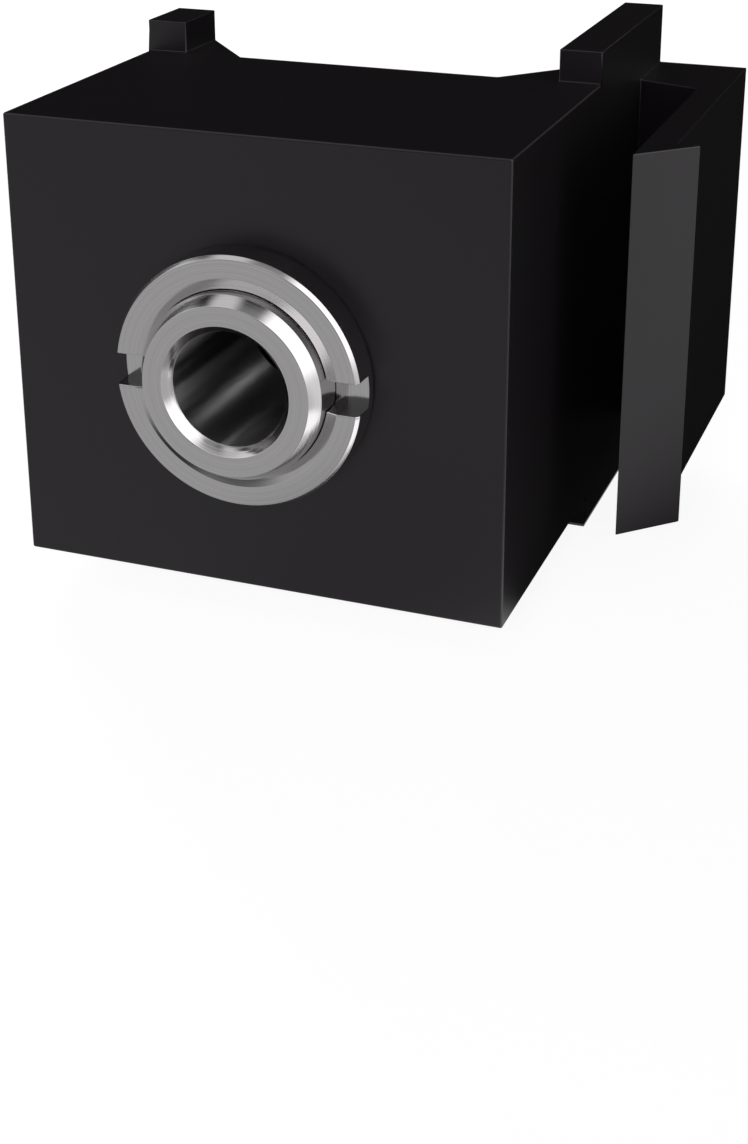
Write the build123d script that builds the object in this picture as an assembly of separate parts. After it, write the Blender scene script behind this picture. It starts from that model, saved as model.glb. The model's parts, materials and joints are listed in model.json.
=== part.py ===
from build123d import *
import os
from math import atan2, degrees, hypot

os.makedirs("parts", exist_ok=True)

# Audio jack socket, millimetres.
# The origin is where the plug's axis meets the front face of the box.
# X runs right across the front face, Y runs back into the box, Z is up.

# Snap-in box
body_w = 16.0
body_h = 14.5
body_d = 9.8
wall = 1.4
ear_d = 12.2
cheek_d = 18.6
notch_w = 9.1
rail_rise = 1.05
box_edge_r = 0.08
key_h = 2.0
key_end_gap = 0.6
key_clearance = 0.05
stop_h = 4.0
stop_w = 0.8
stop_clearance = 0.05

# Latch arm beside the right cheek
arm_gap = 2.1
arm_t = 1.0
arm_h = 12.5
arm_tip_y = 5.4
barb_reach = 0.7
web_at_cheek = 3.15
web_at_arm = 3.85

# Plug, and where its ring and tip meet their springs, from the face of the nose
plug_d = 3.5
tip_reach = 12.2
ring_reach = 8.6

# Threaded bush
bore_d = 3.6
nose_d = 5.8
nose_out = 1.97
nose_bevel_r = 0.25
nose_bevel_y = 0.42
bore_bevel_r = 0.25
bore_bevel_y = 0.33
bush_hole_clearance = 0.1
flange_d = 9.0
flange_t = 0.8
flange_flats = 7.6
sleeve_d = 5.0
sleeve_clearance = 0.03
swage_d = 5.5
swage_t = 0.35

# Slotted ring nut
nut_d = 7.9
nut_t = 1.23
nut_bevel_r = 0.1
nut_bevel_y = 0.14
nut_back_bevel = 0.1
nut_sink_d = 6.5
nut_sink_depth = 0.45
nut_slot_w = 1.0
nut_slot_depth = 0.8
thread_clearance = 0.05
nut_seat_gap = 0.02

# Moulded contact base inside the box
base_side_gap = 1.3
base_floor_gap = 1.25
base_rise = 3.6
base_front_t = 1.4
base_rear_t = 1.4
base_side_t = 0.85
base_floor_t = 1.0
cradle_t = 0.8
cradle_w = 6.0
cradle_rise = 2.25
cradle_clearance = 0.1
cradle_inset = 3.2

# Contacts, stamped from strip
terminal_t = 0.4
leaf_t = 0.25
leaf_root_h = 2.4
leaf_nose_h = 1.7
leaf_lever = 4.0
leaf_tail = 1.3
leaf_bite = 0.6
leaf_flare_x = 1.0
leaf_flare_y = 1.6
leaf_bend_r = 0.5
weld_gap = 0.02
terminal_side_gap = 0.05
strip_end_gap = 0.25
slot_clearance = 0.03
break_lane_gap = 0.9
break_arm = 1.15
break_station = 1.25
point_d = 1.0
point_t = 0.2
point_gap = 0.05
lug_out = 3.2
lug_w = 1.8
lug_hole_d = 0.9
lug_hole_inset = 1.1
comb_t = 0.9
comb_clearance = 0.03

# Earth tag between the bush flange and the base
tag_t = 0.3
tag_d = 8.4
tag_strip_w = 1.8
tag_bend_r = 0.35

# How far a cutting shape runs past the face that it opens
cut_past = 1.0

# Places worked out from the sizes above
side_x = body_w / 2
top_z = body_h / 2
inner_x = side_x - wall
inner_z = top_z - wall
nose_face_y = -nose_out
tag_y = wall + flange_t
base_y = tag_y + tag_t
base_inner_y = base_y + base_front_t
bush_end_y = base_inner_y + sleeve_clearance + swage_t
base_x = inner_x - base_side_gap
base_inner_x = base_x - base_side_t
base_low_z = -inner_z + base_floor_gap
floor_z = base_low_z + base_floor_t
tip_y = nose_face_y + tip_reach
ring_y = nose_face_y + ring_reach
root_y = tip_y + leaf_lever
rear_wall_y = root_y + leaf_tail + strip_end_gap
base_end_y = rear_wall_y + base_rear_t
lug_end_y = base_end_y + lug_out
terminal_x = base_inner_x - terminal_side_gap - terminal_t / 2
leaf_x = terminal_x - terminal_t / 2 - weld_gap - leaf_t / 2
break_x = terminal_x - terminal_t - break_lane_gap
leaf_nose_x = plug_d / 2 - leaf_bite + leaf_t / 2
strip_top_z = leaf_root_h / 2


def block(x_low, x_high, y_low, y_high, z_low, z_high):
    """A block given by its lowest and highest corners."""
    size = (x_high - x_low, y_high - y_low, z_high - z_low)
    centre = ((x_low + x_high) / 2, (y_low + y_high) / 2, (z_low + z_high) / 2)
    return Pos(*centre) * Box(*size)


def plan_slab(points, z_low, z_high):
    """A slab with an outline drawn in plan, seen from above."""
    face = make_face(Polyline(*points, close=True))
    return Pos(0, 0, z_low) * extrude(face, z_high - z_low)


def turned(points):
    """A ring or sleeve turned about the plug's axis from (radius, y) points."""
    return revolve(make_face(Polyline(*points, close=True)), Axis.Y)


def round_bar(radius, y_low, y_high):
    """A round bar along the plug's axis."""
    return Pos(0, (y_low + y_high) / 2, 0) * Rot(90, 0, 0) * Cylinder(radius, y_high - y_low)


def strip(points, thickness, z_low, z_high):
    """A bent strip of even thickness that stands on edge along a line in plan."""
    line = FilletPolyline(*points, radius=leaf_bend_r)
    face = make_face(offset(line, amount=thickness / 2, side=Side.BOTH))
    return Pos(0, 0, z_low) * extrude(face, z_high - z_low)


def seen_from_side(face, x_low, x_high):
    """A slab with an outline drawn in the Y and Z directions."""
    return Pos(x_low, 0, 0) * extrude(Plane.YZ * face, x_high - x_low)


def housing():
    """Open-backed box: rear ears, stop rails, cheek, latch arm, keys and flange stops inside."""
    notch_x = notch_w / 2
    outline = [
        (-side_x, 0),
        (side_x, 0),
        (side_x, cheek_d),
        (inner_x, cheek_d),
        (inner_x, ear_d),
        (notch_x, body_d),
        (-notch_x, body_d),
        (-inner_x, ear_d),
        (-side_x, ear_d),
    ]
    shell = plan_slab(outline, -top_z, top_z)
    front_edges = shell.edges().group_by(Axis.Y)[0]
    long_edges = shell.edges().filter_by(Axis.Y).group_by(Axis.X)
    shell = fillet(front_edges + long_edges[0] + long_edges[-1], box_edge_r)
    shell -= block(-inner_x, inner_x, wall, cheek_d + cut_past, -inner_z, inner_z)

    for sign in (-1, 1):
        root_z, crest_z = sorted((sign * inner_z, sign * (top_z + rail_rise)))
        shell += block(-side_x, -inner_x, body_d, ear_d, root_z, crest_z)
        shell += block(inner_x, side_x, body_d, cheek_d, root_z, crest_z)

    arm_in = side_x + arm_gap
    arm_out = arm_in + arm_t
    barb_x = arm_out + barb_reach
    barb_y = arm_tip_y + arm_t + barb_reach
    latch = [
        (inner_x, cheek_d),
        (inner_x, cheek_d - web_at_cheek),
        (side_x, cheek_d - web_at_cheek),
        (arm_in, cheek_d - web_at_arm),
        (arm_in, arm_tip_y),
        (barb_x, barb_y),
        (arm_out, barb_y),
        (arm_out, cheek_d),
    ]
    shell += plan_slab(latch, -arm_h / 2, arm_h / 2)

    key_x = base_x + key_clearance
    stop_x = flange_flats / 2 + stop_clearance
    for sign in (-1, 1):
        low, high = sorted((sign * key_x, sign * (inner_x + wall / 2)))
        shell += block(low, high, wall / 2, body_d - key_end_gap, -key_h / 2, key_h / 2)
        low, high = sorted((sign * stop_x, sign * (stop_x + stop_w)))
        shell += block(low, high, wall / 2, tag_y - stop_clearance, -stop_h / 2, stop_h / 2)

    return shell - round_bar(nose_d / 2 + bush_hole_clearance, -cut_past, wall + cut_past)


def bush():
    """Turned bush: bevelled nose, flange with two flats, sleeve and swaged lip."""
    bore_r = bore_d / 2
    nose_r = nose_d / 2
    profile = [
        (bore_r + bore_bevel_r, nose_face_y),
        (nose_r - nose_bevel_r, nose_face_y),
        (nose_r, nose_face_y + nose_bevel_y),
        (nose_r, wall),
        (flange_d / 2, wall),
        (flange_d / 2, tag_y),
        (sleeve_d / 2, tag_y),
        (sleeve_d / 2, bush_end_y - swage_t),
        (swage_d / 2, bush_end_y - swage_t),
        (sleeve_d / 2, bush_end_y),
        (bore_r + bore_bevel_r, bush_end_y),
        (bore_r, bush_end_y - bore_bevel_r),
        (bore_r, nose_face_y + bore_bevel_y),
    ]
    body = turned(profile)
    for sign in (-1, 1):
        low, high = sorted((sign * flange_flats / 2, sign * flange_d))
        body -= block(low, high, wall, tag_y, -flange_d, flange_d)
    return body


def ring_nut():
    """Round nut, bevelled and countersunk in front, with a key slot on each side."""
    outer_r = nut_d / 2
    inner_r = nose_d / 2 + thread_clearance
    back_y = -nut_seat_gap
    front_y = back_y - nut_t
    profile = [
        (inner_r, back_y),
        (outer_r - nut_back_bevel, back_y),
        (outer_r, back_y - nut_back_bevel),
        (outer_r, front_y + nut_bevel_y),
        (outer_r - nut_bevel_r, front_y),
        (nut_sink_d / 2, front_y),
        (inner_r, front_y + nut_sink_depth),
    ]
    body = turned(profile)
    slot_floor_y = front_y + nut_slot_depth
    for sign in (-1, 1):
        low, high = sorted((0, sign * nut_d))
        body -= block(low, high, front_y - cut_past, slot_floor_y, -nut_slot_w / 2, nut_slot_w / 2)
    return body


def contact_base():
    """Open-topped tray: sleeve hole in front, plug cradles, terminal slots behind."""
    tray = block(-base_x, base_x, base_y, base_end_y, base_low_z, base_rise)
    low_front = tray.edges().group_by(Axis.Y)[0].filter_by(Axis.X).sort_by(Axis.Z)[0]
    tray = chamfer(low_front, tag_t + tag_bend_r)
    tray -= block(
        -base_inner_x, base_inner_x, base_inner_y, rear_wall_y, floor_z, base_rise + cut_past
    )

    cradle_top = floor_z + cradle_rise
    groove = round_bar(plug_d / 2 + cradle_clearance, base_inner_y, rear_wall_y)
    for middle_y in (base_inner_y + cradle_inset, tip_y + cradle_inset / 2):
        rib = block(
            -cradle_w / 2, cradle_w / 2, middle_y - cradle_t / 2, middle_y + cradle_t / 2,
            floor_z - base_floor_t / 2, cradle_top,
        )
        tray += rib - groove

    half_slot = terminal_t / 2 + slot_clearance
    for x in (-terminal_x, -break_x, break_x, terminal_x):
        tray -= block(
            x - half_slot, x + half_slot, rear_wall_y - strip_end_gap, base_end_y + cut_past,
            floor_z, base_rise + cut_past,
        )

    return tray - round_bar(sleeve_d / 2 + sleeve_clearance, base_y - cut_past, base_inner_y + cut_past)


def terminal_comb():
    """Bar across the rear wall whose teeth hold the terminals down in their slots."""
    comb = block(-base_x, base_x, rear_wall_y, base_end_y, base_rise, base_rise + comb_t)
    half_tooth = terminal_t / 2 + slot_clearance - comb_clearance
    for x in (-terminal_x, -break_x, break_x, terminal_x):
        comb += block(
            x - half_tooth, x + half_tooth, rear_wall_y, base_end_y,
            strip_top_z + comb_clearance, base_rise + comb_t / 2,
        )
    return comb


def terminal_outline(front_y, lug_centre_z):
    """Side view of a terminal: a plate as high as its slot, and a round-ended solder lug."""
    plate = Pos((front_y + base_end_y) / 2, (floor_z + strip_top_z) / 2) * Rectangle(
        base_end_y - front_y, strip_top_z - floor_z
    )
    neck_length = lug_out - lug_w / 2
    neck = Pos(base_end_y + neck_length / 2 - lug_w / 4, lug_centre_z) * Rectangle(
        neck_length + lug_w / 2, lug_w
    )
    end = Pos(base_end_y + neck_length, lug_centre_z) * Circle(lug_w / 2)
    hole = Pos(lug_end_y - lug_hole_inset, lug_centre_z) * Circle(lug_hole_d / 2)
    return plate + neck + end - hole


def spring_terminal(side):
    """Flat terminal against the side wall, to which a contact leaf is welded."""
    x = side * terminal_x
    outline = terminal_outline(root_y, strip_top_z - lug_w / 2)
    return seen_from_side(outline, x - terminal_t / 2, x + terminal_t / 2)


def leaf_direction(nose_y):
    """Unit step along a leaf from its root to its nose, as (outwards, y)."""
    run_x = leaf_nose_x - leaf_x
    run_y = nose_y - root_y
    length = hypot(run_x, run_y)
    return run_x / length, run_y / length


def contact_leaf(side, nose_y):
    """Spring leaf: welded tail, slanting arm, rounded nose in the plug's way, flared end."""
    line = [
        (side * leaf_x, root_y + leaf_tail),
        (side * leaf_x, root_y),
        (side * leaf_nose_x, nose_y),
        (side * (leaf_nose_x + leaf_flare_x), nose_y - leaf_flare_y),
    ]
    band = strip(line, leaf_t, -leaf_root_h / 2, leaf_root_h / 2)
    free_y = nose_y - leaf_flare_y - leaf_t
    tail_y = root_y + leaf_tail + leaf_t
    taper = [
        (free_y, -leaf_nose_h / 2),
        (root_y, -leaf_root_h / 2),
        (tail_y, -leaf_root_h / 2),
        (tail_y, leaf_root_h / 2),
        (root_y, leaf_root_h / 2),
        (free_y, leaf_nose_h / 2),
    ]
    face = make_face(Polyline(*taper, close=True))
    return band & seen_from_side(face, -side_x, side_x)


def leaf_station(nose_y):
    """Point on the leaf's centre line, as (outwards, y), where it meets its break contact."""
    step_x, step_y = leaf_direction(nose_y)
    return leaf_x + break_station * step_x, root_y + break_station * step_y


def point_plane(side, nose_y, distance):
    """Plane parallel to the leaf, at a distance inwards from its centre line."""
    step_x, step_y = leaf_direction(nose_y)
    at_x, at_y = leaf_station(nose_y)
    inward_x, inward_y = step_y, -step_x
    origin = (side * (at_x + distance * inward_x), at_y + distance * inward_y, 0)
    return Plane(origin=origin, z_dir=(side * inward_x, inward_y, 0))


def contact_point(side, nose_y, moving):
    """Silver contact point, a round pad with a bevelled crown, on the leaf or facing it."""
    pad = Pos(0, 0, point_t / 2) * Cylinder(point_d / 2, point_t)
    pad = chamfer(pad.edges().group_by(Axis.Z)[-1], point_t / 2)
    if moving:
        return point_plane(side, nose_y, leaf_t / 2) * pad
    far = leaf_t / 2 + 2 * point_t + point_gap
    return point_plane(side, nose_y, far) * (Rot(180, 0, 0) * pad)


def break_terminal(side, nose_y):
    """Fixed break contact: lug, plate in its slot, and a bent end parallel to the leaf."""
    step_x, step_y = leaf_direction(nose_y)
    at_x, at_y = leaf_station(nose_y)
    off = leaf_t / 2 + 2 * point_t + point_gap + terminal_t / 2
    middle_x = at_x + off * step_y
    middle_y = at_y - off * step_x
    bend = (break_x - middle_x) / step_x
    elbow = (break_x, middle_y + bend * step_y)
    end = (middle_x + break_arm * step_x / 2, middle_y + break_arm * step_y / 2)
    line = [(side * break_x, lug_end_y), (side * elbow[0], elbow[1]), (side * end[0], end[1])]
    band = strip(line, terminal_t, floor_z, strip_top_z)
    outline = terminal_outline(end[1] - terminal_t, floor_z + lug_w / 2)
    return band & seen_from_side(outline, -side_x, side_x)


def earth_tag():
    """Ring under the bush flange with a strip folded back under the base to a lug."""
    half_w = tag_strip_w / 2
    strip_top = base_low_z
    strip_low = base_low_z - tag_t
    turn_y = base_y + tag_bend_r
    ring = round_bar(tag_d / 2, tag_y, base_y)
    ring -= round_bar(sleeve_d / 2 + sleeve_clearance, tag_y - cut_past, base_y + cut_past)
    stem = block(-half_w, half_w, tag_y, base_y, strip_top + tag_bend_r, -sleeve_d / 2 - tag_t)
    bend_centre = Pos(0, turn_y, strip_top + tag_bend_r)
    corner = Rot(0, 90, 0) * (
        Cylinder(tag_bend_r + tag_t, tag_strip_w) - Cylinder(tag_bend_r, tag_strip_w)
    )
    reach = tag_bend_r + tag_t
    corner = bend_centre * corner
    corner &= block(-half_w, half_w, turn_y - reach, turn_y, strip_low, strip_top + tag_bend_r)
    neck = block(-half_w, half_w, turn_y, lug_end_y - lug_w / 2, strip_low, strip_top)
    end = Pos(0, lug_end_y - lug_w / 2, (strip_low + strip_top) / 2) * Cylinder(half_w, tag_t)
    hole = Pos(0, lug_end_y - lug_hole_inset, strip_low) * Cylinder(lug_hole_d / 2, cut_past)
    return ring + stem + corner + neck + end - hole


def save(name, shape):
    """Writes one piece to its own file."""
    export_step(shape, f"parts/{name}.step")
    print(f"{name}: {shape.volume:.2f} mm3, {len(shape.solids())} solid")


save("housing", housing())
save("bush", bush())
save("ring_nut", ring_nut())
save("earth_tag", earth_tag())
save("contact_base", contact_base())
save("terminal_comb", terminal_comb())
for pole, hand, touch_y in (("tip", -1, tip_y), ("ring", 1, ring_y)):
    save(f"{pole}_terminal", spring_terminal(hand))
    save(f"{pole}_spring", contact_leaf(hand, touch_y))
    save(f"{pole}_spring_point", contact_point(hand, touch_y, True))
    save(f"{pole}_break_terminal", break_terminal(hand, touch_y))
    save(f"{pole}_break_point", contact_point(hand, touch_y, False))

print(f"plug axis at the origin, box front at y 0, lugs end at y {lug_end_y:.2f}")
for pole, touch_y in (("tip", tip_y), ("ring", ring_y)):
    angle = degrees(atan2(leaf_bite, root_y - touch_y))
    print(f"{pole} leaf: pivot x {leaf_x:.3f}, y {root_y:.3f}, a plug opens it {angle:.2f} degrees")
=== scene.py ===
# %% [markdown]
# # A snap-in audio jack socket
#
# The object is a chassis socket for a 3.5 mm stereo plug. A black moulded box is pushed into a frame from
# behind: four rails stop it and a latch arm at the right snaps. A turned and nickelled bush is the plug's
# way in, a slotted ring nut holds it, and sprung contacts wait inside. The measured solids are loaded first.
# They never move. Every surface made below is laid over one of them, in metres, in the same frame: the
# origin is where the plug's axis meets the front of the box, +Y goes back into the box and +Z is up.

import json
import math

import bmesh
import bpy
import numpy as np
from mathutils import Matrix, Vector


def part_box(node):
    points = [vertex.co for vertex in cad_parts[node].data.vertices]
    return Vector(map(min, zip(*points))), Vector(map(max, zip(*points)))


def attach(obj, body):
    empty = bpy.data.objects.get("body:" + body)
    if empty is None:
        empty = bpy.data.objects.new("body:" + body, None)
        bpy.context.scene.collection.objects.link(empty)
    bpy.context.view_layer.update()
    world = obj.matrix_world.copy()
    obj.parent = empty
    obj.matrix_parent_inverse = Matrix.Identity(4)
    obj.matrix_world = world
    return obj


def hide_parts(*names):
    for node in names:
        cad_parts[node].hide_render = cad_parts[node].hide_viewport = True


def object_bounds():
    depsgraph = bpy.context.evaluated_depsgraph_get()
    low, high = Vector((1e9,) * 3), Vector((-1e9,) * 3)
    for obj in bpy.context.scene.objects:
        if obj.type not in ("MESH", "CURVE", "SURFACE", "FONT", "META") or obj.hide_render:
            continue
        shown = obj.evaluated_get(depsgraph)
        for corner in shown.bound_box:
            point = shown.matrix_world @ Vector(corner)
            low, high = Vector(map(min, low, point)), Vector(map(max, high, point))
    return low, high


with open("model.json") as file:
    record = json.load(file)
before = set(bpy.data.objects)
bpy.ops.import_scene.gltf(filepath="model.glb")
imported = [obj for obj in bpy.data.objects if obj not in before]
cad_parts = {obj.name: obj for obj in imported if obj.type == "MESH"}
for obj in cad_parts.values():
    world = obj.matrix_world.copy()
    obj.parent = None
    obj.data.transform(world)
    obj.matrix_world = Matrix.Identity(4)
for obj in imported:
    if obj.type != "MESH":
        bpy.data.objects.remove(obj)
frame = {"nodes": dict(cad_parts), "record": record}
cad_low, cad_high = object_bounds()
nodes = frame["nodes"]
print("solids:", len(nodes), "box in mm:", [round(1000 * (b - a), 2) for a, b in zip(cad_low, cad_high)])

# %% [markdown]
# ## Sizes
#
# The sizes that the new surfaces need are named here, in millimetres. Those that belong to a loaded solid
# are read from its box, so that a surface can't drift from the piece that it covers. Two sizes of the nut
# differ a little from the solid's: its bore comes closer to the nose, because a thread leaves no gap there,
# and its countersink is a shallow dish with a soft rim.

# %% Sizes of the metal parts, in millimetres
MM = 0.001


def reach(node):
    """Lowest and highest corner of a solid, in millimetres."""
    low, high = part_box(node)
    return np.array(low) / MM, np.array(high) / MM


nut_low, nut_high = reach("ring_nut")
bush_low, bush_high = reach("bush")

nut_front_y = nut_low[1]
nut_back_y = nut_high[1]
nut_r = nut_high[0]
nut_bore_r = 2.92
nut_sink_r = 3.29
nut_sink_depth = 0.12
nut_sink_edge_r = 0.2
nut_bevel_r = 0.1
nut_bevel_y = 0.14
nut_back_bevel = 0.1
nut_slot_w = 1.0
nut_slot_depth = 0.8

nose_front_y = bush_low[1]
bush_end_y = bush_high[1]
flange_r = bush_high[2]
flange_half_flats = bush_high[0]
bore_r = 1.8
nose_r = 2.9
nose_bevel_r = 0.25
nose_bevel_y = 0.42
bore_bevel_r = 0.25
bore_bevel_y = 0.33
wall_y = 1.4
flange_back_y = 2.2
sleeve_r = 2.5
swage_r = 2.75
swage_t = 0.35
print("nut front at y", round(nut_front_y, 3), "nose front at y", round(nose_front_y, 3))

# %% [markdown]
# ## Surfaces from arrays
#
# A turned part is one outline carried round an axis. Blender's Screw modifier does that too, but it can't
# flatten a flange or cut a slot on the way, so the points are computed here. The outline is a closed loop of
# (radius, y) corners, and each corner is rounded off a little, because a real edge catches a thin line of
# light. The loop and the angles make a grid of points, and the grid's cells become the faces.


# %% Rounded outlines
def round_corners(corners, radius, steps=5):
    """Closed outline with every corner replaced by an arc.
    An arc starts and ends radius / tan(half the corner's angle) from the corner along its two sides. Its
    points swing between the two unit vectors that go from the arc's centre to those ends."""
    p = np.asarray(corners, float)
    r = np.broadcast_to(np.asarray(radius, float), len(p))[:, None]
    back = np.roll(p, 1, axis=0) - p
    ahead = np.roll(p, -1, axis=0) - p
    back /= np.linalg.norm(back, axis=1, keepdims=True)
    ahead /= np.linalg.norm(ahead, axis=1, keepdims=True)
    half = 0.5 * np.arccos(np.clip((back * ahead).sum(1, keepdims=True), -1, 1))
    middle = back + ahead
    middle /= np.linalg.norm(middle, axis=1, keepdims=True)
    centre = p + middle * r / np.sin(half)
    first = (p + back * r / np.tan(half) - centre) / r
    last = (p + ahead * r / np.tan(half) - centre) / r
    swing = math.pi - 2 * half[:, None]
    s = np.linspace(0, 1, steps + 1)[None, :, None]
    arc = np.sin((1 - s) * swing) * first[:, None] + np.sin(s * swing) * last[:, None]
    return (centre[:, None] + r[:, None] * arc / np.sin(swing)).reshape(-1, 2)


print("points of a triangle with rounded corners:", len(round_corners([(0, 0), (1, 0), (0, 1)], 0.1)))

# %% [markdown]
# ### From a grid to an object
#
# The points are handed to Blender with the four-sided cells between them. Points that fall together, as
# where a slot's wall meets its floor, are merged first. Then the faces are shaded smooth, and only the edges
# that turn sharply stay sharp.

# %% Grid to mesh
merge_distance = 2e-7


def grid_faces(rows, columns, close_rows, close_columns):
    """Corner numbers of the four-sided cells of a grid of rows x columns points."""
    i = np.arange(rows if close_rows else rows - 1)
    j = np.arange(columns if close_columns else columns - 1)
    i, j = np.meshgrid(i, j, indexing="ij")
    up, across = (i + 1) % rows, (j + 1) % columns
    cells = np.stack([i * columns + j, up * columns + j, up * columns + across, i * columns + across], -1)
    return cells.reshape(-1, 4)


def placed(name, mesh):
    """Smooth object made of a mesh and put in the scene."""
    mesh.shade_smooth()
    piece = bpy.data.objects.new(name, mesh)
    bpy.context.scene.collection.objects.link(piece)
    print(name, "faces:", len(mesh.polygons))
    return piece


def turned_piece(name, points, sharp_degrees=32):
    """Object from a grid of points in millimetres, closed both ways.
    Points nearer than merge_distance in metres are merged, and the normals point out."""
    mesh = bpy.data.meshes.new(name)
    faces = grid_faces(*points.shape[:2], True, True)
    mesh.from_pydata((points.reshape(-1, 3) * MM).tolist(), [], faces.tolist())
    work = bmesh.new()
    work.from_mesh(mesh)
    bmesh.ops.remove_doubles(work, verts=work.verts, dist=merge_distance)
    bmesh.ops.dissolve_degenerate(work, edges=work.edges, dist=merge_distance)
    bmesh.ops.recalc_face_normals(work, faces=work.faces)
    work.to_mesh(mesh)
    work.free()
    piece = placed(name, mesh)
    mesh.set_sharp_from_angle(angle=math.radians(sharp_degrees))
    return piece


print("cells of a closed grid of 3 x 4 points:", len(grid_faces(3, 4, True, True)))

# %% [markdown]
# ## The bush
#
# The bush is turned from brass and plated with nickel. Its nose has a bevel outside and one inside, which
# guides the plug. Behind the front wall it has a flange with two flats that stop it from turning, and
# its rear end is swaged over the contact base. Only the flange isn't round. A boolean cut for its flats
# would break up the rounded edges, so the outline's points on the flange's rim take the smaller of the round
# radius and the distance to the flat at their angle.

# %% Make the bush
turn_steps = 288
edge_r = 0.03
tiny = 1e-6


def bush_points():
    """x = r cos a and z = r sin a, with r and y from the outline.
    On the flange's rim r = min(flange_r, flange_half_flats / |cos a|), and tiny keeps |cos a| above zero."""
    corners = [
        (bore_r + bore_bevel_r, nose_front_y),
        (nose_r - nose_bevel_r, nose_front_y),
        (nose_r, nose_front_y + nose_bevel_y),
        (nose_r, wall_y),
        (flange_r, wall_y),
        (flange_r, flange_back_y),
        (sleeve_r, flange_back_y),
        (sleeve_r, bush_end_y - swage_t),
        (swage_r, bush_end_y - swage_t),
        (sleeve_r, bush_end_y),
        (bore_r + bore_bevel_r, bush_end_y),
        (bore_r, bush_end_y - bore_bevel_r),
        (bore_r, nose_front_y + bore_bevel_y),
    ]
    outline = round_corners(corners, edge_r)
    angle = np.linspace(0, 2 * math.pi, turn_steps, endpoint=False)
    radius = np.repeat(outline[:, :1], turn_steps, axis=1)
    flat = flange_half_flats / np.maximum(np.abs(np.cos(angle)), tiny)
    radius = np.minimum(radius, np.maximum(flat, nose_r)[None])
    y = np.repeat(outline[:, 1:], turn_steps, axis=1)
    return np.stack([radius * np.cos(angle), y, radius * np.sin(angle)], -1)


bush = turned_piece("turned_bush", bush_points())

# %% [markdown]
# ## The ring nut
#
# The nut is a ring with a bevel outside, a shallow dish inside and a key slot at each side. Its section is
# one outline, like the bush's. The direction in which each point of the outline faces is kept too, because
# the edges of the slots are rounded by drawing the outline in along it.

# %% Section of the nut
nut_arc_steps = 7


def nut_outline():
    """Closed outline of the nut's section, with its outward normals.
    All corners are rounded by edge_r but for the rim of the dish, which is softer."""
    corners = [
        (nut_bore_r, nut_back_y),
        (nut_r - nut_back_bevel, nut_back_y),
        (nut_r, nut_back_y - nut_back_bevel),
        (nut_r, nut_front_y + nut_bevel_y),
        (nut_r - nut_bevel_r, nut_front_y),
        (nut_sink_r, nut_front_y),
        (nut_bore_r, nut_front_y + nut_sink_depth),
    ]
    line = round_corners(corners, [edge_r] * 5 + [nut_sink_edge_r, edge_r], steps=nut_arc_steps)
    along = np.roll(line, -1, axis=0) - np.roll(line, 1, axis=0)
    along /= np.linalg.norm(along, axis=1, keepdims=True)
    return line, np.stack([-along[:, 1], along[:, 0]], -1)


print("points in the nut's section:", len(nut_outline()[0]))

# %% [markdown]
# ### The nut's slots
#
# A boolean cut would leave thin uneven faces beside the slots, and they show on a metal that is nearly a
# mirror. So the slots are part of the grid. A slot has parallel walls, and the angle at which its wall stands
# is larger near the bore than at the rim: sin(angle) = half the slot's width / radius. The grid's columns
# follow that angle. Between the slots they carry the whole outline, and inside a slot the same outline cut
# off at the slot's floor. At the slot's walls the outline shrinks a little over the last few columns, which
# rounds the edge.

# %% Make the ring nut
slot_edge_r = 0.035
slot_fade = 0.12
lobe_steps = 120
slot_steps = 8
edge_steps = 5


def nut_points():
    """One column of the outline per angle: right slot, upper lobe, left slot, lower lobe.
    At a lobe's end the column at distance d from the wall is drawn in by e - sqrt(e^2 - (e - d)^2)."""
    line, normal = nut_outline()
    r, y = line[:, 0], line[:, 1]
    floor_y = nut_front_y + nut_slot_depth
    half = nut_slot_w / 2
    open_part = np.clip((floor_y - y) / slot_fade, 0, 1)[:, None]
    lean = np.linspace(0, math.pi / 2, edge_steps + 1)
    from_wall = slot_edge_r * (1 - np.cos(lean))
    drawn_in = slot_edge_r * (1 - np.sin(lean))
    shrunk = line[:, None] - normal[:, None] * (drawn_in[None, :, None] * open_part[:, None])
    end_r, end_y = shrunk[..., 0], shrunk[..., 1]
    end_angle = np.arcsin((half + from_wall)[None] / end_r)
    share = np.linspace(0, 1, lobe_steps + 1)[None, 1:-1]
    start = end_angle[:, -1:]
    lobe_angle = start + share * (math.pi - 2 * start)
    lobe_r = np.repeat(r[:, None], lobe_angle.shape[1], axis=1)
    lobe_y = np.repeat(y[:, None], lobe_angle.shape[1], axis=1)
    z = np.linspace(-half, half, slot_steps + 1)[None]
    slot_r = np.repeat(r[:, None], slot_steps + 1, axis=1)
    slot_y = np.repeat(np.maximum(y, floor_y)[:, None], slot_steps + 1, axis=1)
    slot_angle = np.arcsin(z / slot_r)
    radii = np.hstack([slot_r, end_r, lobe_r, end_r[:, ::-1]])
    depth = np.hstack([slot_y, end_y, lobe_y, end_y[:, ::-1]])
    angles = np.hstack([slot_angle, end_angle, lobe_angle, math.pi - end_angle[:, ::-1]])
    radii = np.hstack([radii, radii])
    depth = np.hstack([depth, depth])
    angles = np.hstack([angles, angles + math.pi])
    return np.stack([radii * np.cos(angles), depth, radii * np.sin(angles)], -1)


nut = turned_piece("slotted_nut", nut_points())

# %% [markdown]
# ## Moulded and stamped pieces
#
# The box, the contact base and the stamped contacts have flat faces with holes. They could be modelled again
# from boxes, but every size would then have to be kept in two places, so the solids' own meshes are the
# start. Each is copied, its loose triangles are joined and its flat faces made whole, and a bevel rounds its
# edges. The normals at a corner lean to the larger face there, so that the flat faces shade flat and the
# bevels round.

# %% Copies with rounded edges
join_distance = 1e-6
flat_degrees = 0.5
edge_degrees = 40


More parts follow.
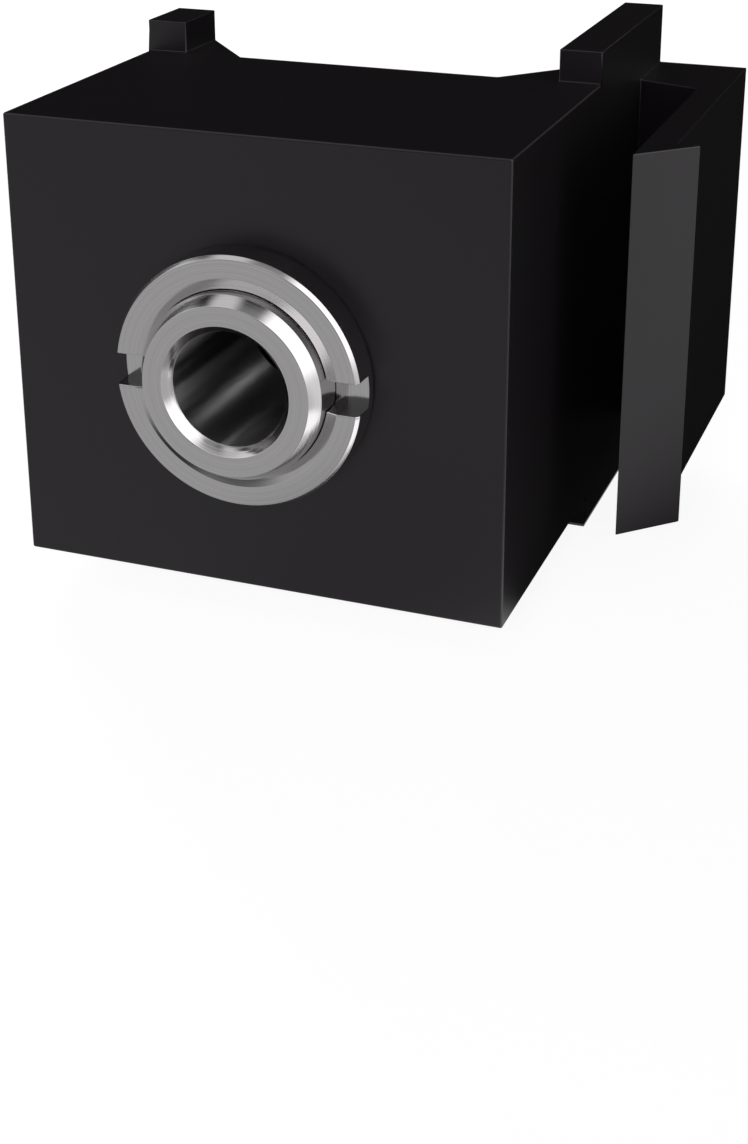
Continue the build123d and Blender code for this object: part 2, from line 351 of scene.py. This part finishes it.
def joined_mesh(node, name):
    """Copy of a solid's mesh whose triangles are joined within join_distance in metres, and made into whole
    faces where they lie flat to within flat_degrees."""
    mesh = nodes[node].data.copy()
    mesh.name = name
    mesh.materials.clear()
    work = bmesh.new()
    work.from_mesh(mesh)
    bmesh.ops.remove_doubles(work, verts=work.verts, dist=join_distance)
    bmesh.ops.dissolve_limit(work, angle_limit=math.radians(flat_degrees), verts=work.verts,
                             edges=work.edges, delimit=set())
    work.to_mesh(mesh)
    work.free()
    return mesh


def edged_copy(node, name, width, steps=3):
    """Joined copy with a bevel on every edge that turns by more than edge_degrees."""
    mesh = joined_mesh(node, name)
    piece = placed(name, mesh)
    bevel = piece.modifiers.new("edges", "BEVEL")
    bevel.width = width * MM
    bevel.segments = steps
    bevel.limit_method = "ANGLE"
    bevel.angle_limit = math.radians(edge_degrees)
    normals = piece.modifiers.new("normals", "WEIGHTED_NORMAL")
    normals.mode = "FACE_AREA"
    normals.weight = 100
    normals.keep_sharp = True
    mesh.set_sharp_from_angle(angle=math.radians(edge_degrees))
    return piece


print("edges count from", edge_degrees, "degrees, flat faces up to", flat_degrees)

# %% [markdown]
# ### Box, base, comb and contacts
#
# A moulding's edges are as round as the mould's corners, about 0.05 mm here. Stamped strip is only a few
# tenths of a millimetre thick and its edges are nearly sharp, so its bevel is 0.02 mm with fewer steps.

# %% Make the moulded and stamped pieces
box_edge = 0.05
base_edge = 0.06
comb_edge = 0.05
strip_edge = 0.02
strip_edge_steps = 2
stamped_nodes = [
    "earth_tag",
    "tip_terminal",
    "ring_terminal",
    "tip_break_terminal",
    "ring_break_terminal",
    "tip_spring",
    "ring_spring",
    "tip_spring_point",
    "tip_break_point",
    "ring_spring_point",
    "ring_break_point",
]

box = edged_copy("housing", "moulded_box", box_edge)
base = edged_copy("contact_base", "moulded_base", base_edge)
comb = edged_copy("terminal_comb", "moulded_comb", comb_edge)
stamped = {node: edged_copy(node, "stamped_" + node, strip_edge, strip_edge_steps) for node in stamped_nodes}

# %% [markdown]
# ## Finishes
#
# A colour is written as a screen colour and turned to the linear value that a shader works in. Each
# material has one principled shader, and one function adds a node with its settings and links. A value that
# is the same all over a piece goes straight into the shader's own socket.


# %% Colours and nodes
def linear(colour):
    """Linear red, green, blue, alpha of a screen colour: c / 12.92 below 0.04045, else a power of 2.4."""
    c = np.array([int(colour[i : i + 2], 16) for i in (1, 3, 5)]) / 255
    c = np.where(c <= 0.04045, c / 12.92, ((c + 0.055) / 1.055) ** 2.4)
    return (*c.tolist(), 1.0)


def add(tree, kind, settings=None, links=None):
    """Adds a node. Settings are attributes or input values, and links go from another node's output."""
    node = tree.nodes.new(kind)
    for key, value in (settings or {}).items():
        if isinstance(key, int) or key in node.inputs:
            node.inputs[key].default_value = value
        else:
            setattr(node, key, value)
    for key, source in (links or {}).items():
        tree.links.new(source, node.inputs[key])
    return node


def principled(name, settings):
    """New material. Returns it with its node tree and its principled shader."""
    material = bpy.data.materials.new(name)
    material.use_nodes = True
    tree = material.node_tree
    shader = tree.nodes["Principled BSDF"]
    for key, value in settings.items():
        shader.inputs[key].default_value = value
    return material, tree, shader


print("the middle grey of a screen is", round(linear("#808080")[0], 3), "as a linear value")

# %% [markdown]
# ### Black mouldings
#
# The box is black nylon from a spark-eroded mould: nearly black, satin, with a very fine even grain. The
# real grain is about 0.03 mm. It is drawn at 0.06 mm so that it shows at all. The contact base and the comb
# are polyester with glass fibre, a little greyer and duller, with the same grain. Displaced points would need
# millions of faces for it. The grain only has to tilt the surface, so it is a bump and moves no point.

# %% Nylon and polyester
grain_mm = 0.06
grain_depth_mm = 0.004
grain_strength = 0.12
plastic_ior = 1.53


def grained_plastic(name, colour, roughness):
    """Black plastic with a fine bump from noise whose cells measure grain_mm."""
    material, tree, shader = principled(
        name, {"Base Color": linear(colour), "Roughness": roughness, "IOR": plastic_ior}
    )
    place = add(tree, "ShaderNodeTexCoord")
    noise = add(tree, "ShaderNodeTexNoise", {"Scale": 1 / (grain_mm * MM), "Detail": 2.0},
                {"Vector": place.outputs["Object"]})
    bump = add(tree, "ShaderNodeBump", {"Strength": grain_strength, "Distance": grain_depth_mm * MM},
               {"Height": noise.outputs["Fac"]})
    tree.links.new(bump.outputs["Normal"], shader.inputs["Normal"])
    return material


nylon = grained_plastic("black_moulded_nylon", colour="#130E13", roughness=0.38)
polyester = grained_plastic("black_glass_filled_polyester", colour="#222224", roughness=0.45)
print("plastics:", nylon.name, "and", polyester.name)

# %% [markdown]
# ### Rings of the turning tool
#
# The bush and the nut are turned, and the tool leaves very fine rings. They tilt the surface a little and
# are a few hundredths darker or lighter. An anisotropic shader would smear the reflections evenly, but real
# rings differ from one to the next. So they are noise along one line, which grows both outwards and
# backwards, so that the rings run over faces and bevels alike.

# %% Rings on turned metal
ring_mm = 0.06
ring_lean = 1.7
ring_depth_mm = 0.003
ring_strength = 0.5
ring_noise_low, ring_noise_high = 0.3, 0.7
ring_darkest, ring_lightest = 0.94, 1.04


def turned_rings(tree, shader, colour, radius, y):
    """Noise at w = (radius + ring_lean y) / ring_mm, as a bump and as a shade of the colour."""
    path = add(tree, "ShaderNodeMath", {"operation": "MULTIPLY_ADD", 1: ring_lean}, {0: y, 2: radius})
    rings = add(tree, "ShaderNodeTexNoise",
                {"noise_dimensions": "1D", "Scale": 1 / (ring_mm * MM), "Detail": 1.0},
                {"W": path.outputs[0]})
    bump = add(tree, "ShaderNodeBump", {"Strength": ring_strength, "Distance": ring_depth_mm * MM},
               {"Height": rings.outputs["Fac"]})
    tree.links.new(bump.outputs["Normal"], shader.inputs["Normal"])
    shade = add(tree, "ShaderNodeMapRange",
                {"From Min": ring_noise_low, "From Max": ring_noise_high,
                 "To Min": ring_darkest, "To Max": ring_lightest},
                {"Value": rings.outputs["Fac"]})
    tint = add(tree, "ShaderNodeVectorMath", {"operation": "SCALE", 0: linear(colour)[:3]},
               {"Scale": shade.outputs["Result"]})
    tree.links.new(tint.outputs[0], shader.inputs["Base Color"])


print("one ring is about", ring_mm, "mm wide")

# %% [markdown]
# ### Wear inside the bore
#
# Plugs have slid along the bore. That dulls its wall in soft lines from end to end. Between the lines the
# wall is worn too, most of all near the mouth, where every plug is pushed in at a slant. Wear can be painted
# on an image, but that needs an unwrapped mesh, and noise needs only the place of each point. So the
# roughness on the wall follows a noise that is drawn out along y, and never falls below a share that grows
# towards the mouth. The wall is told from the rest of the bush by its distance from the axis.

# %% Wear of the bore
rubbed_mm = 1.0
rubbed_stretch = 0.03
rubbed_shift = (0.105, 0.0, 0.062)
rubbed_noise_low, rubbed_noise_high = 0.47, 0.62
rubbed_roughness = 0.6
worn_deep_y = 3.6
worn_deep = 0.36
worn_mouth_y = 1.6
worn_mouth = 0.42
on_wall_mm, off_wall_mm = 0.01, 0.04


def worn_roughness(tree, place, radius, y, roughness):
    """Output that is the roughness outside the bore and goes up to rubbed_roughness on its wall.
    The share there is the larger of the rubbed lines, whose noise measures rubbed_mm across and is drawn out
    by 1 / rubbed_stretch along y, and the wear between them. rubbed_shift, in metres, only picks the stretch
    of noise whose lines lie as on the real bore."""
    drawn_out = add(tree, "ShaderNodeVectorMath",
                    {"operation": "MULTIPLY_ADD", 1: (1, rubbed_stretch, 1), 2: rubbed_shift}, {0: place})
    lines = add(tree, "ShaderNodeTexNoise", {"Scale": 1 / (rubbed_mm * MM), "Detail": 2.0},
                {"Vector": drawn_out.outputs[0]})
    rubbed = add(tree, "ShaderNodeMapRange",
                 {"From Min": rubbed_noise_low, "From Max": rubbed_noise_high},
                 {"Value": lines.outputs["Fac"]})
    worn = add(tree, "ShaderNodeMapRange",
               {"From Min": worn_deep_y * MM, "From Max": worn_mouth_y * MM,
                "To Min": worn_deep, "To Max": worn_mouth},
               {"Value": y})
    either = add(tree, "ShaderNodeMath", {"operation": "MAXIMUM"},
                 {0: rubbed.outputs["Result"], 1: worn.outputs["Result"]})
    in_bore = add(tree, "ShaderNodeMapRange",
                  {"From Min": (bore_r + off_wall_mm) * MM, "From Max": (bore_r + on_wall_mm) * MM},
                  {"Value": radius})
    dulled = add(tree, "ShaderNodeMath", {"operation": "MULTIPLY"},
                 {0: either.outputs[0], 1: in_bore.outputs["Result"]})
    rough = add(tree, "ShaderNodeMapRange", {"To Min": roughness, "To Max": rubbed_roughness},
                {"Value": dulled.outputs[0]})
    return rough.outputs["Result"]


print("the wall's wear grows from", worn_deep, "to", worn_mouth, "towards the mouth")

# %% [markdown]
# ### Nickel, tin and silver
#
# Bright nickel plate on the turned bush and nut is nearly a mirror. Tin plate on the stamped terminals is
# softer and greyer. The leaves are rolled bronze strip with nickel plate, and the contact points are silver.
# These small pieces lie deep inside, so one colour and one roughness do for each of them.


# %% Metals
def turned_metal(name, colour, roughness):
    """Metal with turned rings, and with wear inside the bore."""
    material, tree, shader = principled(name, {"Metallic": 1.0})
    place = add(tree, "ShaderNodeTexCoord").outputs["Object"]
    across = add(tree, "ShaderNodeVectorMath", {"operation": "MULTIPLY", 1: (1, 0, 1)}, {0: place})
    radius = add(tree, "ShaderNodeVectorMath", {"operation": "LENGTH"}, {0: across.outputs[0]})
    along = add(tree, "ShaderNodeSeparateXYZ", {}, {0: place})
    from_axis = radius.outputs["Value"]
    turned_rings(tree, shader, colour, from_axis, along.outputs["Y"])
    rough = worn_roughness(tree, place, from_axis, along.outputs["Y"], roughness)
    tree.links.new(rough, shader.inputs["Roughness"])
    return material


def metal(name, colour, roughness):
    """Plain metal of one colour and roughness."""
    return principled(name, {"Base Color": linear(colour), "Metallic": 1.0, "Roughness": roughness})[0]


nickel = turned_metal("bright_nickel_plate", colour="#CCCACB", roughness=0.12)
tin = metal("satin_tin_plate", colour="#C4C4C2", roughness=0.3)
strip = metal("nickel_plated_spring_strip", colour="#C8C4BC", roughness=0.22)
silver = metal("silver_contact", colour="#E6E4DE", roughness=0.2)
print("metals:", [made.name for made in (nickel, tin, strip, silver)])

# %% [markdown]
# ## Each piece in the place of its solid
#
# A piece has to move with the body that its solid belongs to: the nut turns, and the two leaves bend with
# their contact points. So each piece gets its material, rides on the body that the record names for its
# solid, and is shown in that solid's place.

# %% Give each piece its finish, its body and the solid that it stands for
body_of = {n: b for b, members in frame["record"]["behaviour"]["bodies"].items() for n in members}


def dress(piece, node, material):
    """The piece takes the material, rides on the solid's body and is shown in the solid's place."""
    piece.data.materials.clear()
    piece.data.materials.append(material)
    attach(piece, body_of[node])
    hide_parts(node)
    print(piece.name, "stands for", node, "on the body", body_of[node])


dress(box, "housing", nylon)
dress(base, "contact_base", polyester)
dress(comb, "terminal_comb", polyester)
dress(bush, "bush", nickel)
dress(nut, "ring_nut", nickel)
for node, piece in stamped.items():
    if node.endswith("point"):
        dress(piece, node, silver)
    elif node.endswith("spring"):
        dress(piece, node, strip)
    else:
        dress(piece, node, tin)

# %% [markdown]
# ## Camera
#
# The camera stands in front of the socket, to the right and above, about 58 mm from the face of the box. The
# box is in the upper part of the picture, so the lens is shifted by a fifth of the picture's height. The
# place, the three angles and the lens were solved from the corners, edges and circles in the photograph.

# %% Camera
camera_place = np.array([22.288, -48.922, 20.729])
camera_azimuth = math.radians(20.567)
camera_elevation = math.radians(20.326)
camera_roll = math.radians(-0.139)
lens_mm = 60.301
sensor_mm = 36.0
lens_shift = -0.2
nearest_m, farthest_m = 0.001, 10.0

to_camera = Vector((
    math.sin(camera_azimuth) * math.cos(camera_elevation),
    -math.cos(camera_azimuth) * math.cos(camera_elevation),
    math.sin(camera_elevation),
))
level_view = (-to_camera).to_track_quat("-Z", "Y")
camera_data = bpy.data.cameras.new("camera")
camera_data.lens = lens_mm
camera_data.sensor_width = sensor_mm
camera_data.shift_y = lens_shift
camera_data.clip_start = nearest_m
camera_data.clip_end = farthest_m
camera = bpy.data.objects.new("camera", camera_data)
camera.rotation_mode = "QUATERNION"
camera.location = camera_place * MM
camera.rotation_quaternion = level_view @ Matrix.Rotation(camera_roll, 3, "Z").to_quaternion()
scene = bpy.context.scene
scene.collection.objects.link(camera)
scene.camera = camera
print("the camera is", round(float(np.linalg.norm(camera_place)), 1), "mm from the origin")

# %% [markdown]
# ## Studio
#
# The background is white. A world that is white for every ray would light the black plastic from all sides
# and turn it grey. So the Light Path node makes it white only for the camera and in reflections, and it
# lights the object only a little. The lamps do the rest.

# %% World
fill_light = 0.1
white = (1, 1, 1, 1)
scene.view_settings.view_transform = "Standard"


def seen_directly(tree):
    """1 for rays from the camera, in reflections and through glass, otherwise 0."""
    path = add(tree, "ShaderNodeLightPath").outputs
    first = add(tree, "ShaderNodeMath", {"operation": "MAXIMUM"},
                {0: path["Is Camera Ray"], 1: path["Is Glossy Ray"]})
    both = add(tree, "ShaderNodeMath", {"operation": "MAXIMUM"},
               {0: first.outputs[0], 1: path["Is Transmission Ray"]})
    return both.outputs[0]


world = bpy.data.worlds.new("studio")
scene.world = world
world.use_nodes = True
world_tree = world.node_tree
background = world_tree.nodes["Background"]
background.inputs["Color"].default_value = white
strength = add(world_tree, "ShaderNodeMapRange", {"To Min": fill_light, "To Max": 1.0},
               {"Value": seen_directly(world_tree)})
world_tree.links.new(strength.outputs["Result"], background.inputs["Strength"])
print("the world lights the object with", fill_light, "of the white that it shows")

# %% [markdown]
# ### White paper
#
# The socket lies on white paper. Lamps strong enough to turn the paper white would turn the plastic grey too.
# So the paper is a grey matt surface that takes the soft shadow, with a glow added that only the camera and
# reflections see, and that lifts it to the white of the background. The glow is a little weaker near the
# socket, where the white is less than full: that is painted shade on the paper around the socket, which
# deepens its real shadow. The material's surface is the sum of the two.

# %% Material of the paper
paper_grey = 0.35
# The glow near the socket is lower than far away: painted shade on the paper around the socket.
glow_near_m, glow_near_painted_shade = 0.06, 0.885
glow_far_m, glow_far = 0.3, 0.985


def empty_material(name):
    """New material without nodes, and its node tree."""
    material = bpy.data.materials.new(name)
    material.use_nodes = True
    material.node_tree.nodes.clear()
    return material, material.node_tree


def add_sum(tree, first, second):
    """The material's surface is the sum of two shaders."""
    both = add(tree, "ShaderNodeAddShader", {}, {0: first.outputs[0], 1: second.outputs[0]})
    add(tree, "ShaderNodeOutputMaterial", {}, {"Surface": both.outputs[0]})


floor_material, floor_tree = empty_material("white_paper")
paper = add(floor_tree, "ShaderNodeBsdfDiffuse", {"Color": (paper_grey, paper_grey, paper_grey, 1)})
floor_place = add(floor_tree, "ShaderNodeTexCoord")
from_middle = add(floor_tree, "ShaderNodeVectorMath", {"operation": "LENGTH"},
                  {0: floor_place.outputs["Object"]})
# Painted shade: the glow dims towards the socket and darkens the paper there, on top of its real shadow.
glow_dimmed_as_painted_shade = add(floor_tree, "ShaderNodeMapRange",
                       {"From Min": glow_near_m, "From Max": glow_far_m,
                        "To Min": glow_near_painted_shade, "To Max": glow_far},
                       {"Value": from_middle.outputs["Value"]})
glow_level = add(floor_tree, "ShaderNodeMath", {"operation": "MULTIPLY"},
                 {0: seen_directly(floor_tree), 1: glow_dimmed_as_painted_shade.outputs["Result"]})
glow = add(floor_tree, "ShaderNodeEmission", {"Color": white}, {"Strength": glow_level.outputs[0]})
add_sum(floor_tree, paper, glow)
print("the paper glows with", glow_near_painted_shade, "near the socket and", glow_far, "far away")

# %% [markdown]
# ### Floor
#
# The floor is one flat sheet at the height of the lowest rails, wide enough that its edge is never in the
# picture. It belongs to the stage and not to the socket.

# %% Floor
floor_half = 2.0
floor_z = cad_low[2]
floor_corners = ((-1, -1), (1, -1), (1, 1), (-1, 1))
floor_mesh = bpy.data.meshes.new("floor")
floor_points = [(x * floor_half, y * floor_half, floor_z) for x, y in floor_corners]
floor_mesh.from_pydata(floor_points, [], [(0, 1, 2, 3)])
floor_mesh.materials.append(floor_material)
floor = bpy.data.objects.new("floor", floor_mesh)
scene.collection.objects.link(floor)
print("floor at z", round(floor_z / MM, 2), "mm")

# %% [markdown]
# ### What the surfaces mirror
#
# Polished metal and black plastic show what stands around them. A photographer sets black flags, grey cards
# and bright panels there, outside the picture, and the white background shows between them. Each could be a
# plane of its own. Here they are round patches on one wide shell, because their edges can then be soft, and
# each is set by the direction in which a surface mirrors it. A line gives a patch's name, its direction, the
# angles in degrees up to which it is full and at which it ends, and its brightness. A later patch covers an
# earlier one.

# %% Flags, cards and panels
patches = [
    ("flag overhead", (0.0, 0.55, 0.83), 44, 58, 0.01),
    ("grey card straight above", (0.1, -0.05, 1.0), 10, 22, 0.35),
    ("black flag behind", (0.0, 0.92, 0.38), 60, 74, 0.01),
    ("flag low at right", (0.5, 0.76, -0.42), 31, 44, 0.01),
    ("card at left", (-0.95, 0.3, 0.05), 16, 30, 0.3),
    ("grey card in front", (-0.3, -0.849, -0.4), 58, 70, 0.48),
    ("grey card on the floor", (0.25, -0.5, -0.83), 22, 42, 0.4),
    ("grey card below behind", (-0.4, 0.6, -0.7), 26, 44, 0.45),
    ("flag above the camera", (0.3, -0.85, 0.35), 18, 34, 0.1),
    ("flag round the lens", (0.1, -0.95, 0.2), 14, 24, 0.03),
    ("flag up at left", (-0.38, -0.85, 0.36), 12, 24, 0.12),
    ("white card at front right", (0.848, -0.385, -0.3), 14, 26, 0.62),
    ("bright panel at right", (0.79, -0.1, 0.61), 26, 42, 1.8),
    ("panel above", (-0.386, 0.02, 0.917), 8, 20, 0.8),
    ("panel seen through the bore", (0.34, 0.86, 0.38), 2, 7, 1.5),
    ("low panel at right", (0.82, -0.05, -0.57), 6, 13, 1.6),
]


def shell_patches(way):
    """How bright the patches are in each direction, and how clear the shell is beside them.
    A patch covers all inside its inner angle and less and less up to its outer angle: s^2 (3 - 2 s)."""
    bright = np.zeros(way.shape[:-1])
    clear = np.ones(way.shape[:-1])
    for _, centre, inner, outer, level in patches:
        centre = np.array(centre) / np.linalg.norm(centre)
        angle = np.degrees(np.arccos(np.clip(way @ centre, -1, 1)))
        s = np.clip((outer - angle) / (outer - inner), 0, 1)
        cover = s * s * (3 - 2 * s)
        bright += (level - bright) * cover
        clear *= 1 - cover
    return bright, clear


print("patches:", len(patches), "of which", sum(patch[-1] > 1 for patch in patches), "shine")

# %% [markdown]
# ### The shell that carries the patches
#
# The shell is a sphere cut off by a plane just over the floor, so that the patches below the horizon lie on
# the paper and not under it. It is a grid again, of directions from the origin, and the two open ends at the
# poles are too small to matter.

# %% Points of the shell
shell_radius = 250.0
shell_floor_gap = 0.1
shell_rows = 97
shell_columns = 192
pole_gap = 0.001


def shell_points():
    """Direction (sin a cos b, sin a sin b, cos a), and the same times the smaller of the shell's radius
    and the floor's depth / how far the direction points down."""
    a = np.linspace(pole_gap, math.pi - pole_gap, shell_rows)[:, None]
    b = np.linspace(0, 2 * math.pi, shell_columns, endpoint=False)[None]
    way = np.stack([np.sin(a) * np.cos(b), np.sin(a) * np.sin(b), np.cos(a) + 0 * b], -1)
    depth = -cad_low[2] / MM - shell_floor_gap
    out = np.minimum(shell_radius, depth / np.maximum(-way[..., 2], tiny))
    return way, way * out[..., None]


shell_way, shell_grid = shell_points()
print("points of the shell:", shell_grid.shape[0] * shell_grid.shape[1])

# %% [markdown]
# ### What the shell shows
#
# Brightness and clearness are stored as numbers on the shell's points, and the material reads them. An image
# would do as well, but the numbers need no file and no unwrapped mesh. Where there is no patch the shell is
# clear. Only reflections see it, so it gives no light and casts no shadow.

# %% Make the shell
shell_bright, shell_clear = shell_patches(shell_way)
shell_faces = grid_faces(shell_rows, shell_columns, False, True)
shell_mesh = bpy.data.meshes.new("shell")
shell_mesh.from_pydata((shell_grid.reshape(-1, 3) * MM).tolist(), [], shell_faces.tolist())
for label, values in (("bright", shell_bright), ("clear", shell_clear)):
    layer = shell_mesh.attributes.new(label, "FLOAT", "POINT")
    layer.data.foreach_set("value", values.ravel().astype(np.float32))
shell_material, shell_tree = empty_material("flags_and_cards")
painted = add(shell_tree, "ShaderNodeAttribute", {"attribute_name": "bright"})
open_part = add(shell_tree, "ShaderNodeAttribute", {"attribute_name": "clear"})
card_light = add(shell_tree, "ShaderNodeEmission", {"Color": white}, {"Strength": painted.outputs["Fac"]})
see_through = add(shell_tree, "ShaderNodeBsdfTransparent", {}, {"Color": open_part.outputs["Fac"]})
add_sum(shell_tree, card_light, see_through)
shell_mesh.materials.append(shell_material)
shell = bpy.data.objects.new("shell", shell_mesh)
scene.collection.objects.link(shell)
for kind in ("camera", "diffuse", "transmission", "volume_scatter", "shadow"):
    setattr(shell, "visible_" + kind, False)
print("clear share of the shell:", round(float(shell_clear.mean()), 2))

# %% [markdown]
# ## Lamps
#
# Two lamps light the matt part of every surface. They are large, because small ones would draw hard shadows.
# The key lamp stands in front, a little to the right and above, and gives the plastic its even grey. The back
# lamp stands behind at the left and reaches into the open back. Reflections don't see the lamps, because the
# patches are there for them.


# %% Lamps
def lamp(name, place, size, power):
    """Square soft lamp at a place in millimetres, aimed at the origin. Its power is in watts."""
    data = bpy.data.lights.new(name, "AREA")
    data.shape = "SQUARE"
    data.size = size * MM
    data.energy = power
    lamp_object = bpy.data.objects.new(name, data)
    lamp_object.location = Vector(place) * MM
    lamp_object.rotation_mode = "QUATERNION"
    lamp_object.rotation_quaternion = (-Vector(place)).to_track_quat("-Z", "Y")
    lamp_object.visible_glossy = False
    scene.collection.objects.link(lamp_object)
    print(name, "lamp:", size, "mm square,", power, "W,", round(Vector(place).length), "mm away")


lamp("key", place=(50, -240, 70), size=160, power=0.43)
lamp("back", place=(-130, 210, 50), size=160, power=0.35)
